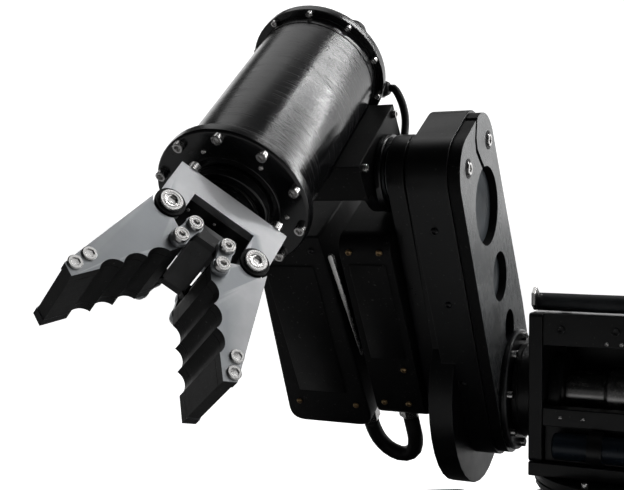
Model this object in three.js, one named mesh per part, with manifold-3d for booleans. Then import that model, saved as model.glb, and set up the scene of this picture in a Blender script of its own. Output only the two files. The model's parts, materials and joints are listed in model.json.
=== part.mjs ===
// Five-joint manipulator arm with a two-jaw scalloped gripper.
// Units are millimetres and +Z is up. The origin is on the slew axis at the bottom of the base plate.
// +X runs along the shoulder and elbow axes, from the arm towards the shoulder drive.
// The arm reaches forwards along -Y.
import * as THREE from 'three';
import { mergeVertices } from 'three/addons/utils/BufferGeometryUtils.js';
import Module from 'manifold-3d';

const wasm = await Module();
wasm.setup();

// ---- driving dimensions ----
const GAP = 0.3;              // air left between two pieces that are bolted together
const SEGMENTS = 40;          // facets on a large cylinder
const SMALL_SEGMENTS = 24;    // facets on a pin, hole or hose fitting

const ARM_X = -215;           // middle plane of the forearm, measured from the slew axis
const SHOULDER_Z = 125;       // height of the shoulder axis
const LINK_LENGTH = 190;      // shoulder axis to elbow axis
const LINK_LEAN = THREE.MathUtils.degToRad(31);
const FOREARM_DIP = THREE.MathUtils.degToRad(37);
const WRIST_ROLL = THREE.MathUtils.degToRad(47);
const JAW_OPEN = THREE.MathUtils.degToRad(33);

const BASE = { x0: -290, x1: 110, y0: -150, y1: 110, thickness: 12, corner: 24, cutX: -170, cutY: 36, boltHoleR: 5.5 };
const BASE_BOLTS = [[-268, -128], [88, -128], [-150, 88], [88, 88]];
const SLEW = { housingR: 74, housingTop: 50, neckR: 62, neckTop: 57, discR: 72, discBottom: 57.6, discTop: 69.7 };
const FRAME = { x0: -69, x1: 85, y0: -45, y1: 45, bottom: 70, top: 188, plate: 10, beamBottom: 165 };
const MOTOR = { gearR: 30, gearLength: 10, bodyR: 22, stepR: 17, stepLength: 28 };
const TUBE = { r: 9.5, y: -48, z: 94, x0: -50, x1: 70 };

const HUB = { r: 46, x0: 124.6, x1: 130, bearingR: 35, bearingX1: 145.7, shaftR: 14 };
const CHEEK = { innerX0: 66, innerX1: 80, lobeX1: 98, bodyX0: 88, bodyX1: 116, coverX1: 124.3 };
const CHEEK_INNER = { footR: 36, topR: 27, width: 70 };
const CHEEK_LOBE = { footR: 74, topR: 27, width: 74 };
const CHEEK_OUTLINE = { front: -46, frontTop: -45, rearTop: 46, rear: 57, bend: 44, foot: -50, top: 225, footR: 42, topR: 28 };
const RECESS = [
  { r: 28, y: 5, z: 160 },
  { r: 18.5, y: 9, z: 98 },
  { r: 13, y: 13, z: 50 },
];
const SPLIT = { half: 2.2, path: [[23, 234], [10, 221], [3.5, 213], [2, 205], [6, 196], [14, 180]] };
const INNER_BOX = { x0: 26, x1: 65.7, y0: -42, y1: 42, z0: -4, z1: 160, corner: 14 };
const LEFT_BOX = { z0: -12, z1: 164, y0: -44, y1: 40, topX0: -39, topX1: 14, footX0: -51, footX1: 20, corner: 12 };

const ELBOW = { discR: 28, discX0: 57.3, discX1: 62.9, barrelR: 21, barrelX0: 63.3, shaftR: 11 };
const WRIST = { r: 45, wall: 5, offset: 57, front: -110, flange: 8, flangeR: 52, rear: 50, capR: 50.5, cap: 8 };
const REAR_BLOCK = { x0: -42, x1: 36.5, z0: 22, z1: 86, depth: 14, corner: 9 };
const SADDLE = { x0: 47.9, x1: 57, lobeR: 27, halfLength: 40, topZ: 33, waistZ: 23, footX0: -8, footZ: 5 };

const GRIP = { halfThickness: 27, plate: 6, coreHalf: 20.4, yokeBack: 24, yokeDepth: 39.5, yokeHalfWidth: 38 };
const PIVOT = { x: 29.5, t: 56.5, pinR: 4, headR: 7.1, headHeight: 2.9, legR: 8.5 };
const JAW = { tip: 77.7, tipWidth: 8.4, inner: -29.1, scallopPitch: 15, scallopStart: 61, scallopDepth: 4 };
const JAW_LINK = { u: -23.6, s: 7.9, lobeR: 5, pinR: 2, headR: 4.7, headHeight: 2.6 };
const CROSS = { x: 11.1, t: 62.7, bossR: 5 };
const LINK_PLATE = { bottom: 27.4, top: 30.6, endR: 5.5, freeHoleR: 3 };

const BLACK = { color: 0x0d0e11, roughness: 0.38, metalness: 0.6 };
const SATIN = { color: 0xb4b8bb, roughness: 0.42, metalness: 0.85 };
const BRIGHT = { color: 0xd6d8da, roughness: 0.2, metalness: 1.0 };
const HOSE = { color: 0x101012, roughness: 0.7, metalness: 0.0 };

// ---- solid helpers ----
function toSolid(geometry) {
  const flat = geometry.clone();
  flat.deleteAttribute('normal');
  flat.deleteAttribute('uv');
  const merged = mergeVertices(flat, 1e-3);
  const index = merged.index.array;
  const kept = [];
  for (let i = 0; i < index.length; i += 3) {
    const a = index[i];
    const b = index[i + 1];
    const c = index[i + 2];
    if (a !== b && b !== c && a !== c) kept.push(a, b, c);
  }
  const positions = Float32Array.from(merged.attributes.position.array);
  const mesh = new wasm.Mesh({ numProp: 3, vertProperties: positions, triVerts: Uint32Array.from(kept) });
  mesh.merge();
  return new wasm.Manifold(mesh);
}

function toGeometry(solid) {
  const mesh = solid.getMesh();
  const geometry = new THREE.BufferGeometry();
  geometry.setAttribute('position', new THREE.BufferAttribute(Float32Array.from(mesh.vertProperties), 3));
  geometry.setIndex(new THREE.BufferAttribute(Uint32Array.from(mesh.triVerts), 1));
  geometry.computeVertexNormals();
  return geometry;
}

function join(...geometries) {
  return toGeometry(geometries.map(toSolid).reduce((sum, next) => sum.add(next)));
}

function cut(body, ...tools) {
  return toGeometry(tools.map(toSolid).reduce((rest, tool) => rest.subtract(tool), toSolid(body)));
}

function box(x0, x1, y0, y1, z0, z1) {
  const geometry = new THREE.BoxGeometry(x1 - x0, y1 - y0, z1 - z0);
  return geometry.translate((x0 + x1) / 2, (y0 + y1) / 2, (z0 + z1) / 2);
}

function cylinder(axis, r, from, to, a, b, segments = SEGMENTS) {
  const geometry = new THREE.CylinderGeometry(r, r, to - from, segments);
  const middle = (from + to) / 2;
  if (axis === 'x') return geometry.rotateZ(-Math.PI / 2).translate(middle, a, b);
  if (axis === 'y') return geometry.translate(a, middle, b);
  return geometry.rotateX(Math.PI / 2).translate(a, b, middle);
}

// A turned piece. Each profile entry is [radius, height along the axis].
function turned(axis, profile, a, b, segments = SEGMENTS) {
  const points = profile.map(([r, h]) => new THREE.Vector2(r, h));
  const geometry = new THREE.LatheGeometry(points, segments);
  if (axis === 'x') geometry.rotateZ(-Math.PI / 2).translate(0, a, b);
  else if (axis === 'y') geometry.translate(a, 0, b);
  else geometry.rotateX(Math.PI / 2).translate(a, b, 0);
  return toGeometry(toSolid(geometry));
}

function extrudeZ(shape, z0, z1, curveSegments = 12) {
  const geometry = new THREE.ExtrudeGeometry(shape, { depth: z1 - z0, bevelEnabled: false, curveSegments });
  return geometry.translate(0, 0, z0);
}

// The shape's x and y become Y and Z, and it is extruded along X.
function extrudeX(shape, x0, x1, curveSegments = 12) {
  const geometry = new THREE.ExtrudeGeometry(shape, { depth: x1 - x0, bevelEnabled: false, curveSegments });
  const axes = new THREE.Matrix4().makeBasis(
    new THREE.Vector3(0, 1, 0), new THREE.Vector3(0, 0, 1), new THREE.Vector3(1, 0, 0));
  return geometry.applyMatrix4(axes).translate(x0, 0, 0);
}

// The shape's x and y become X and Z, and it is extruded along Y from y1 back to y0.
function extrudeY(shape, y0, y1, curveSegments = 8) {
  const geometry = new THREE.ExtrudeGeometry(shape, { depth: y1 - y0, bevelEnabled: false, curveSegments });
  return geometry.rotateX(Math.PI / 2).translate(0, y1, 0);
}

function roundedRect(x0, x1, y0, y1, r) {
  const shape = new THREE.Shape();
  shape.moveTo(x0 + r, y0);
  shape.lineTo(x1 - r, y0);
  shape.absarc(x1 - r, y0 + r, r, -Math.PI / 2, 0);
  shape.lineTo(x1, y1 - r);
  shape.absarc(x1 - r, y1 - r, r, 0, Math.PI / 2);
  shape.lineTo(x0 + r, y1);
  shape.absarc(x0 + r, y1 - r, r, Math.PI / 2, Math.PI);
  shape.lineTo(x0, y0 + r);
  shape.absarc(x0 + r, y0 + r, r, Math.PI, Math.PI * 1.5);
  return shape;
}

// A link outline with a round foot at the shoulder axis and a round head at the elbow axis.
function linkShape(footR, headR, width) {
  const half = width / 2;
  const foot = Math.asin(Math.min(1, half / footR));
  const head = Math.asin(Math.min(1, half / headR));
  const shape = new THREE.Shape();
  shape.absarc(0, 0, footR, Math.PI / 2 + foot, Math.PI * 2.5 - foot);
  shape.absarc(0, LINK_LENGTH, headR, Math.PI / 2 - head - (Math.PI - 2 * head), Math.PI / 2 + head + (Math.PI - 2 * head));
  return shape;
}

function hose(points, r) {
  const path = new THREE.CatmullRomCurve3(points.map((p) => new THREE.Vector3(...p)));
  const section = new THREE.Shape();
  section.absarc(0, 0, r, 0, Math.PI * 2);
  const steps = Math.min(48, Math.max(10, Math.round(path.getLength() / (r * 0.9))));
  return new THREE.ExtrudeGeometry(section, { steps, extrudePath: path, curveSegments: 10 });
}

function piece(name, geometry, look) {
  const solid = toGeometry(toSolid(geometry));
  const mesh = new THREE.Mesh(solid, new THREE.MeshStandardMaterial(look));
  mesh.name = name;
  return mesh;
}

// ---- base ----
function basePlate() {
  const b = BASE;
  const plate = extrudeZ(roundedRect(b.x0, b.x1, b.y0, b.y1, b.corner), 0, b.thickness, 6);
  const corner = new THREE.Shape();
  corner.moveTo(b.x0 - 10, b.cutY);
  corner.lineTo(b.x0, b.cutY);
  corner.lineTo(b.cutX, b.y1);
  corner.lineTo(b.cutX, b.y1 + 10);
  corner.lineTo(b.x0 - 10, b.y1 + 10);
  const holes = BASE_BOLTS.map(([x, y]) => cylinder('z', b.boltHoleR, -1, b.thickness + 1, x, y, SMALL_SEGMENTS));
  return piece('base_plate', cut(plate, extrudeZ(corner, -1, b.thickness + 1), ...holes), BLACK);
}

function slewHousing() {
  const s = SLEW;
  const bottom = BASE.thickness + GAP;
  const profile = [[0, bottom], [s.housingR, bottom], [s.housingR, s.housingTop - 4], [s.housingR - 4, s.housingTop],
    [s.neckR, s.housingTop], [s.neckR, s.neckTop], [0, s.neckTop]];
  return piece('slew_housing', turned('z', profile, 0, 0), BLACK);
}

function slewDisc() {
  const s = SLEW;
  const profile = [[0, s.discBottom], [s.discR - 2, s.discBottom], [s.discR, s.discBottom + 2],
    [s.discR, s.discTop], [0, s.discTop]];
  return piece('slew_turntable', turned('z', profile, 0, 0), BLACK);
}

// ---- shoulder frame ----
function frameFloor() {
  const f = FRAME;
  return piece('frame_floor', box(f.x0, f.x1, f.y0, f.y1, f.bottom, f.bottom + f.plate), BLACK);
}

function frameLeftPlate() {
  const f = FRAME;
  const outline = roundedRect(f.y0, f.y1, f.bottom + f.plate + GAP, f.top, 3);
  const plate = extrudeX(outline, f.x0, f.x0 + f.plate, 3);
  const bore = cylinder('x', HUB.shaftR + 0.4, f.x0 - 1, f.x0 + f.plate + 1, 0, SHOULDER_Z, SMALL_SEGMENTS);
  return piece('frame_left_plate', cut(plate, bore), BLACK);
}

function frameRightPlate() {
  const f = FRAME;
  const outline = roundedRect(f.y0, f.y1, f.bottom + f.plate + GAP, f.top, 3);
  return piece('frame_right_plate', extrudeX(outline, f.x1 - f.plate, f.x1, 3), BLACK);
}

function frameTopBeam() {
  const f = FRAME;
  const x0 = f.x0 + f.plate + GAP;
  const x1 = f.x1 - f.plate - GAP;
  return piece('frame_top_beam', box(x0, x1, f.y0, f.y1, f.beamBottom, f.top), BLACK);
}

function frameRearWall() {
  const f = FRAME;
  const x0 = f.x0 + f.plate + GAP;
  const x1 = f.x1 - f.plate - GAP;
  const z0 = f.bottom + f.plate + GAP;
  return piece('frame_rear_wall', box(x0, x1, f.y1 - 8, f.y1, z0, f.beamBottom - GAP), BLACK);
}

function frameFrontRail() {
  const f = FRAME;
  const x0 = f.x0 + f.plate + GAP;
  const x1 = f.x1 - f.plate - GAP;
  const z0 = f.bottom + f.plate + GAP;
  const rail = box(x0, x1, f.y0 + 7, f.y0 + 13.5, z0, 120);
  const bed = box(x0, x1, f.y0, f.y0 + 8, 107, 120);
  return piece('frame_front_rail', join(rail, bed), BLACK);
}

function shoulderGearbox() {
  const x0 = FRAME.x0 + FRAME.plate + GAP;
  const x1 = x0 + MOTOR.gearLength;
  const profile = [[0, x0], [MOTOR.gearR, x0], [MOTOR.gearR, x1 - 2], [MOTOR.gearR - 2, x1], [0, x1]];
  return piece('shoulder_gearbox', turned('x', profile, 0, SHOULDER_Z), BLACK);
}

function shoulderMotor() {
  const x0 = FRAME.x0 + FRAME.plate + MOTOR.gearLength + 2 * GAP;
  const x1 = x0 + MOTOR.stepLength;
  const x2 = FRAME.x1 - FRAME.plate - GAP;
  const profile = [[0, x0], [MOTOR.stepR, x0], [MOTOR.stepR, x1], [MOTOR.bodyR, x1 + 3], [MOTOR.bodyR, x2], [0, x2]];
  return piece('shoulder_motor', turned('x', profile, 0, SHOULDER_Z), BRIGHT);
}

function shoulderBearing() {
  const x0 = ARM_X + HUB.x1 + 0.6;
  const x1 = ARM_X + HUB.bearingX1;
  const ring = turned('x', [[0, x0], [HUB.bearingR, x0], [HUB.bearingR, x1], [0, x1]], 0, SHOULDER_Z);
  const bore = cylinder('x', HUB.shaftR + 0.4, x0 - 1, x1 + 1, 0, SHOULDER_Z, SMALL_SEGMENTS);
  return piece('shoulder_bearing', cut(ring, bore), BLACK);
}

function driveTube() {
  const t = TUBE;
  const profile = [[0, t.x0], [t.r - 1.5, t.x0], [t.r, t.x0 + 1.5], [t.r, t.x1 - 1.5], [t.r - 1.5, t.x1], [0, t.x1]];
  return piece('drive_tube', turned('x', profile, t.y, t.z, 28), BLACK);
}

function tubeClamp(name, x) {
  const t = TUBE;
  const band = cylinder('x', t.r + 3, x - 5, x + 5, t.y, t.z, 28);
  const bore = cylinder('x', t.r + GAP, x - 6, x + 6, t.y, t.z, 28);
  const behind = box(x - 6, x + 6, FRAME.y0 + 7 - GAP, t.y + 40, t.z - 20, t.z + 20);
  return piece(name, cut(band, bore, behind), SATIN);
}

function frameHose() {
  const z = FRAME.top + 7.3;
  const points = [[-65.7, -30, z], [-57, -30, z], [-20, -35, z], [20, -35, z], [55, -30, z], [63.7, -30, z]];
  return piece('frame_hose', hose(points, 6.5), HOSE);
}

function hoseGland(name, x0, x1, y) {
  const z = FRAME.top + 9.3;
  return piece(name, cylinder('x', 8.6, x0, x1, y, z, 6), BRIGHT);
}

// ---- upper arm, drawn with the shoulder axis at its origin and the elbow straight above it ----
function cheekOutline(inset) {
  const c = CHEEK_OUTLINE;
  const shape = new THREE.Shape();
  const f = c.foot + inset;
  const front = c.front + inset;
  const rear = c.rear - inset;
  const top = c.top - inset;
  shape.moveTo(front + c.footR, f);
  shape.lineTo(rear - c.footR, f);
  shape.absarc(rear - c.footR, f + c.footR, c.footR, -Math.PI / 2, 0);
  shape.lineTo(rear, c.bend);
  shape.lineTo(c.rearTop - inset, top - c.topR);
  shape.absarc(c.rearTop - inset - c.topR, top - c.topR, c.topR, 0, Math.PI / 2);
  shape.lineTo(c.frontTop + inset + c.topR, top);
  shape.absarc(c.frontTop + inset + c.topR, top - c.topR, c.topR, Math.PI / 2, Math.PI);
  shape.lineTo(front, f + c.footR);
  shape.absarc(front + c.footR, f + c.footR, c.footR, Math.PI, Math.PI * 1.5);
  return shape;
}

function cheekInner() {
  const c = CHEEK_INNER;
  const body = extrudeX(linkShape(c.footR, c.topR, c.width), CHEEK.innerX0, CHEEK.innerX1 - GAP, 14);
  return piece('cheek_inner', body, BLACK);
}

function cheekBody() {
  const l = CHEEK_LOBE;
  const main = extrudeX(cheekOutline(0), CHEEK.bodyX0, CHEEK.bodyX1, 12);
  const lobe = extrudeX(linkShape(l.footR, l.topR, l.width), CHEEK.innerX1, CHEEK.lobeX1, 14);
  return piece('cheek_body', join(main, lobe), BLACK);
}

// A curved slit runs from the top edge of the cover into its largest recess.
function cheekCover() {
  const s = SPLIT;
  const plate = extrudeX(cheekOutline(1.5), CHEEK.bodyX1 + GAP, CHEEK.coverX1, 12);
  const holes = RECESS.map((h) => cylinder('x', h.r, CHEEK.bodyX1 - 1, CHEEK.coverX1 + 1, h.y, h.z, 36));
  const slit = new THREE.Shape();
  slit.moveTo(s.path[0][0] - s.half, s.path[0][1]);
  for (const [y, z] of s.path.slice(1)) slit.lineTo(y - s.half, z);
  for (const [y, z] of s.path.slice().reverse()) slit.lineTo(y + s.half, z);
  const groove = extrudeX(slit, CHEEK.bodyX1 - 1, CHEEK.coverX1 + 1);
  return piece('cheek_cover', cut(plate, groove, ...holes), SATIN);
}

function innerHousing() {
  const b = INNER_BOX;
  const body = extrudeX(roundedRect(b.y0, b.y1, b.z0, b.z1, b.corner), b.x0, b.x1, 5);
  return piece('inner_housing', body, BLACK);
}

function leftHousing() {
  const b = LEFT_BOX;
  const shape = new THREE.Shape();
  shape.moveTo(b.footX0 + b.corner, b.z0);
  shape.lineTo(b.footX1 - b.corner, b.z0);
  shape.quadraticCurveTo(b.footX1, b.z0, b.footX1, b.z0 + b.corner);
  shape.lineTo(b.topX1, b.z1);
  shape.lineTo(b.topX0, b.z1);
  shape.lineTo(b.footX0, b.z0 + b.corner);
  shape.quadraticCurveTo(b.footX0, b.z0, b.footX0 + b.corner, b.z0);
  return piece('left_housing', extrudeY(shape, b.y0, b.y1, 5), BLACK);
}

function crossMember() {
  const x0 = LEFT_BOX.footX0 + 6;
  const x1 = INNER_BOX.x1;
  const y0 = INNER_BOX.y1 + GAP;
  return piece('cross_member', box(x0, x1, y0, y0 + 12, 0, 96), BLACK);
}

function shoulderHub() {
  const x0 = HUB.x0;
  const x1 = HUB.x1;
  const x2 = HUB.bearingX1 + 8;
  const profile = [[0, x0], [HUB.r - 1.5, x0], [HUB.r, x0 + 1.5], [HUB.r, x1 - 1], [HUB.r - 1, x1],
    [HUB.shaftR, x1], [HUB.shaftR, x2], [0, x2]];
  return piece('shoulder_hub', turned('x', profile, 0, 0), BLACK);
}

function elbowBarrel() {
  const x0 = ELBOW.barrelX0;
  const x1 = CHEEK.innerX0 - GAP;
  const ring = cylinder('x', ELBOW.barrelR, x0, x1, 0, LINK_LENGTH);
  const bore = cylinder('x', ELBOW.shaftR + 0.4, x0 - 1, x1 + 1, 0, LINK_LENGTH);
  return piece('elbow_barrel', cut(ring, bore), SATIN);
}

// The loop hangs below the housings between two glands.
const LOOP = { r: 6.2, y: -22, x0: 8, x1: 43.5, leftZ: -22.6, rightZ: -14.6 };

function loopHose() {
  const l = LOOP;
  const points = [[8, l.leftZ], [8.3, -31], [11.5, -45], [19, -55.5], [29, -59.5], [38.5, -55], [43, -43], [43.5, -28],
    [43.5, l.rightZ]];
  return piece('loop_hose', hose(points.map(([x, z]) => [x, l.y, z]), l.r), HOSE);
}

function loopGland(name, x, top, bottom) {
  return piece(name, cylinder('z', 8.6, bottom, top, x, LOOP.y, 6), BRIGHT);
}

// ---- forearm, drawn with the elbow axis at its origin and the wrist cylinder along -Y ----
function elbowDisc() {
  const x0 = ELBOW.discX0;
  const x1 = ELBOW.discX1;
  const profile = [[0, x0], [ELBOW.discR - 1, x0], [ELBOW.discR, x0 + 1], [ELBOW.discR, x1 - 1], [ELBOW.discR - 1, x1],
    [0, x1]];
  return piece('elbow_disc', turned('x', profile, 0, 0), SATIN);
}

function forearmSaddle() {
  const s = SADDLE;
  const w = WRIST;
  const side = new THREE.Shape();
  side.moveTo(-s.halfLength, s.topZ);
  side.lineTo(-s.halfLength, s.waistZ);
  side.absarc(0, 0, s.lobeR, Math.PI * 1.1, Math.PI * 1.92);
  side.lineTo(s.halfLength, s.waistZ);
  side.lineTo(s.halfLength, s.topZ);
  const plate = extrudeX(side, s.x0, s.x1);
  const block = box(s.footX0, s.x1, -s.halfLength, s.halfLength, s.footZ, s.topZ);
  const seat = cylinder('y', w.r + GAP, w.front, w.rear, 0, w.offset);
  return piece('forearm_saddle', cut(join(plate, block), seat), BLACK);
}

function wristTube() {
  const w = WRIST;
  const y0 = w.front + w.flange + GAP;
  const y1 = w.rear - GAP;
  const tube = cylinder('y', w.r, y0, y1, 0, w.offset, 56);
  const bore = cylinder('y', w.r - w.wall, y0 - 1, y1 + 1, 0, w.offset, 56);
  return piece('wrist_tube', cut(tube, bore), BLACK);
}

function wristFlange() {
  const w = WRIST;
  const y0 = w.front;
  const y1 = w.front + w.flange;
  const profile = [[0, y0], [w.flangeR - 1.5, y0], [w.flangeR, y0 + 1.5], [w.flangeR, y1], [w.r - w.wall - GAP, y1],
    [w.r - w.wall - GAP, y1 + 4], [0, y1 + 4]];
  const body = turned('y', profile, 0, w.offset, 56);
  const bore = cylinder('y', 13.4, y0 - 1, y1 + 6, 0, w.offset, 32);
  return piece('wrist_flange', cut(body, bore), BLACK);
}

function wristRearCap() {
  const w = WRIST;
  const y0 = w.rear;
  const y1 = w.rear + w.cap;
  const profile = [[0, y0 - 4], [w.r - w.wall - GAP, y0 - 4], [w.r - w.wall - GAP, y0], [w.capR, y0],
    [w.capR, y1 - 1.5], [w.capR - 1.5, y1], [0, y1]];
  return piece('wrist_rear_cap', turned('y', profile, 0, w.offset, 56), BLACK);
}

function wristGearmotor() {
  const w = WRIST;
  const y0 = w.front + w.flange + 5;
  const profile = [[0, y0], [34, y0], [34, y0 + 46], [28, y0 + 48], [28, y0 + 118], [0, y0 + 118]];
  const body = turned('y', profile, 0, w.offset, 32);
  const socket = cylinder('y', 13.4, y0 - 1, y0 + 14, 0, w.offset, 32);
  return piece('wrist_gearmotor', cut(body, socket), SATIN);
}

function rearBlock() {
  const r = REAR_BLOCK;
  const y0 = WRIST.rear + WRIST.cap + GAP;
  const shape = roundedRect(r.x0, r.x1, r.z0, r.z1, r.corner);
  return piece('rear_block', extrudeY(shape, y0, y0 + r.depth, 5), BLACK);
}

const CABLE = { r: 2.9, glandZ: 31.5, glandR: 6.2, glandLength: 9 };

function cableGland() {
  const c = CABLE;
  const y0 = WRIST.rear + WRIST.cap + GAP + REAR_BLOCK.depth / 2;
  const x0 = REAR_BLOCK.x1 + GAP;
  const profile = [[0, x0], [c.glandR, x0], [c.glandR, x0 + 5], [4.6, x0 + c.glandLength], [0, x0 + c.glandLength]];
  return piece('cable_gland', turned('x', profile, y0, c.glandZ, 12), HOSE);
}

function forearmCable() {
  const c = CABLE;
  const x0 = REAR_BLOCK.x1 + 2 * GAP + c.glandLength;
  const y0 = WRIST.rear + WRIST.cap + GAP + REAR_BLOCK.depth / 2;
  const points = [[x0 + 0.4, y0, c.glandZ], [x0 + 3, y0, c.glandZ], [x0 + 9, y0 - 6, 25], [x0 + 13, y0 - 15, 15],
    [60, y0 - 27, 6], [60, ELBOW.discR + 3.2, 2]];
  return piece('forearm_cable', hose(points, c.r), HOSE);
}

// ---- gripper, drawn with the wrist flange at its origin, the jaws along -Y and the front face at +Z ----
function wristHub() {
  const y = (t) => -t;
  const profile = [[0, y(23.7)], [21, y(23.7)], [21, y(11)], [22, y(10)], [27, y(10)], [28, y(9)], [28, y(0.4)],
    [13, y(0.4)], [13, y(-24)], [0, y(-24)]];
  const body = turned('y', profile, 0, 0);
  const bore = cylinder('y', 5.6, y(25), y(8), 0, 0, SMALL_SEGMENTS);
  return piece('wrist_hub', cut(body, bore), BLACK);
}

function yokeBlock() {
  const g = GRIP;
  const body = box(-g.yokeHalfWidth + 2, g.yokeHalfWidth - 2, -g.yokeDepth, -g.yokeBack, -20.7, 20.7);
  const bore = cylinder('y', 5.6, -g.yokeDepth - 1, -g.yokeBack + 1, 0, 0, SMALL_SEGMENTS);
  return piece('yoke_block', cut(body, bore), BLACK);
}

function yokePlate(name, z0, z1) {
  const g = GRIP;
  const p = PIVOT;
  const back = box(-g.yokeHalfWidth, g.yokeHalfWidth, -g.yokeDepth, -g.yokeBack, z0, z1);
  const parts = [back];
  const holes = [];
  for (const side of [-1, 1]) {
    parts.push(box(side * p.x - p.legR, side * p.x + p.legR, -p.t, -g.yokeDepth + 1, z0, z1));
    parts.push(cylinder('z', p.legR, z0, z1, side * p.x, -p.t, 32));
    holes.push(cylinder('z', p.pinR + 0.2, z0 - 1, z1 + 1, side * p.x, -p.t, SMALL_SEGMENTS));
  }
  return piece(name, cut(join(...parts), ...holes), SATIN);
}

function pivotPin(name, side) {
  const top = GRIP.halfThickness + GAP;
  const p = PIVOT;
  const profile = [[0, -top - p.headHeight], [p.headR, -top - p.headHeight], [p.headR, -top], [p.pinR, -top],
    [p.pinR, top], [p.headR, top], [p.headR, top + p.headHeight], [0, top + p.headHeight]];
  return piece(name, turned('z', profile, side * p.x, -p.t, SMALL_SEGMENTS), BRIGHT);
}

function crosshead() {
  const c = CROSS;
  const core = box(-8, 8, -c.t - 2, -c.t + 8, -26.7, 26.7);
  const parts = [core];
  const holes = [];
  for (const [z0, z1] of [[21, 26.7], [-26.7, -21]]) {
    parts.push(box(-c.x, c.x, -c.t - 2, -c.t + 5, z0, z1));
    for (const side of [-1, 1]) parts.push(cylinder('z', c.bossR, z0, z1, side * c.x, -c.t, SMALL_SEGMENTS));
  }
  for (const side of [-1, 1]) {
    holes.push(cylinder('z', JAW_LINK.pinR + 0.2, -28, 28, side * c.x, -c.t, 16));
  }
  return piece('crosshead', cut(join(...parts), ...holes), BLACK);
}

function pushRod() {
  const back = -CROSS.t + 8 + GAP;
  return piece('push_rod', cylinder('y', 5, back, back + 27, 0, 0, SMALL_SEGMENTS), BRIGHT);
}

function linkPin(name, x, y) {
  const l = JAW_LINK;
  const top = LINK_PLATE.top + GAP;
  const profile = [[0, -top - l.headHeight], [l.headR, -top - l.headHeight], [l.headR, -top], [l.pinR, -top],
    [l.pinR, top], [l.headR, top], [l.headR, top + l.headHeight], [0, top + l.headHeight]];
  return piece(name, turned('z', profile, x, y, 16), BRIGHT);
}

// The jaw is drawn closed about its own pivot for the right side; u is across and s is forwards along -Y.
function jawShape(outerInset) {
  const j = JAW;
  const at = (u, s) => [u, -s];
  const shape = new THREE.Shape();
  shape.moveTo(...at(7 - outerInset, 8));
  shape.lineTo(...at(j.inner + j.tipWidth - outerInset * 0.5, j.tip - outerInset * 0.4));
  shape.lineTo(...at(j.inner, j.tip - outerInset * 0.4));
  shape.lineTo(...at(j.inner, j.scallopStart));
  const half = j.scallopPitch / 2;
  const r = (half * half + j.scallopDepth * j.scallopDepth) / (2 * j.scallopDepth);
  const arm = r - j.scallopDepth;
  const start = Math.atan2(half, arm);
  for (let i = 0; i < 3; i += 1) {
    const s = j.scallopStart - half - i * j.scallopPitch;
    shape.absarc(j.inner - arm, -s, r, -start, start, false);
  }
  shape.lineTo(...at(JAW_LINK.u - JAW_LINK.lobeR, JAW_LINK.s));
  shape.absarc(JAW_LINK.u, -JAW_LINK.s, JAW_LINK.lobeR, Math.PI, Math.PI * 0.5, true);
  shape.lineTo(...at(-9, 3));
  shape.lineTo(...at(0, 3));
  return shape;
}

// Mirrors a right-hand piece to the left-hand side and keeps its faces pointing outwards.
function mirrored(geometry) {
  return toGeometry(toSolid(geometry).mirror([1, 0, 0]));
}

function jawCore(name, side) {
  const half = GRIP.coreHalf;
  const body = extrudeZ(jawShape(1), -half, half, 7);
  const lug = cylinder('z', 8, -half, half, 0, 0, SMALL_SEGMENTS);
  const web = box(-9, 3, -12, 1, -half, half);
  const bore = cylinder('z', PIVOT.pinR + 0.2, -40, 40, 0, 0, SMALL_SEGMENTS);
  const pinHole = cylinder('z', JAW_LINK.pinR + 0.2, -40, 40, JAW_LINK.u, -JAW_LINK.s, 16);
  const right = cut(join(body, lug, web), bore, pinHole);
  return piece(name, side > 0 ? right : mirrored(right), BLACK);
}

function jawPlate(name, side, z0, z1) {
  const body = extrudeZ(jawShape(0), z0, z1, 7);
  const relief = cylinder('z', 10.3, z0 - 1, z1 + 1, 0, 0, 32);
  const pinHole = cylinder('z', JAW_LINK.pinR + 0.2, z0 - 1, z1 + 1, JAW_LINK.u, -JAW_LINK.s, 16);
  const right = cut(body, relief, pinHole);
  return piece(name, side > 0 ? right : mirrored(right), SATIN);
}

// A link is drawn from its crosshead pin at the origin to the jaw pin.
function gripLink(name, dx, dy, z0, z1) {
  const length = Math.hypot(dx, dy);
  const body = join(
    cylinder('z', LINK_PLATE.endR, z0, z1, 0, 0, SMALL_SEGMENTS),
    cylinder('z', LINK_PLATE.endR, z0, z1, 0, -length, SMALL_SEGMENTS),
    box(-LINK_PLATE.endR + 1, LINK_PLATE.endR - 1, -length, 0, z0, z1));
  const tight = cylinder('z', JAW_LINK.pinR + 0.2, z0 - 1, z1 + 1, 0, 0, 16);
  const free = cylinder('z', LINK_PLATE.freeHoleR, z0 - 1, z1 + 1, 0, -length, 16);
  const mesh = piece(name, cut(body, tight, free), SATIN);
  mesh.rotation.z = Math.atan2(dx, -dy);
  return mesh;
}

// ---- assembly ----
function placed(group, x, y, z) {
  group.position.set(x, y, z);
  return group;
}

function jawGroup(side) {
  const tag = side > 0 ? 'right' : 'left';
  const inner = GRIP.coreHalf + GAP;
  const outer = GRIP.halfThickness;
  const group = placed(new THREE.Group(), side * PIVOT.x, -PIVOT.t, 0);
  group.rotation.z = side * JAW_OPEN;
  group.add(jawCore(`jaw_core_${tag}`, side));
  group.add(jawPlate(`jaw_front_plate_${tag}`, side, inner, outer));
  group.add(jawPlate(`jaw_rear_plate_${tag}`, side, -outer, -inner));
  group.add(linkPin(`jaw_pin_${tag}`, side * JAW_LINK.u, -JAW_LINK.s));
  return group;
}

// The jaw pin's place in the gripper frame for an open jaw.
function openJawPin(side) {
  const pin = new THREE.Vector2(side * JAW_LINK.u, -JAW_LINK.s);
  pin.rotateAround(new THREE.Vector2(0, 0), side * JAW_OPEN);
  return pin.add(new THREE.Vector2(side * PIVOT.x, -PIVOT.t));
}

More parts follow.
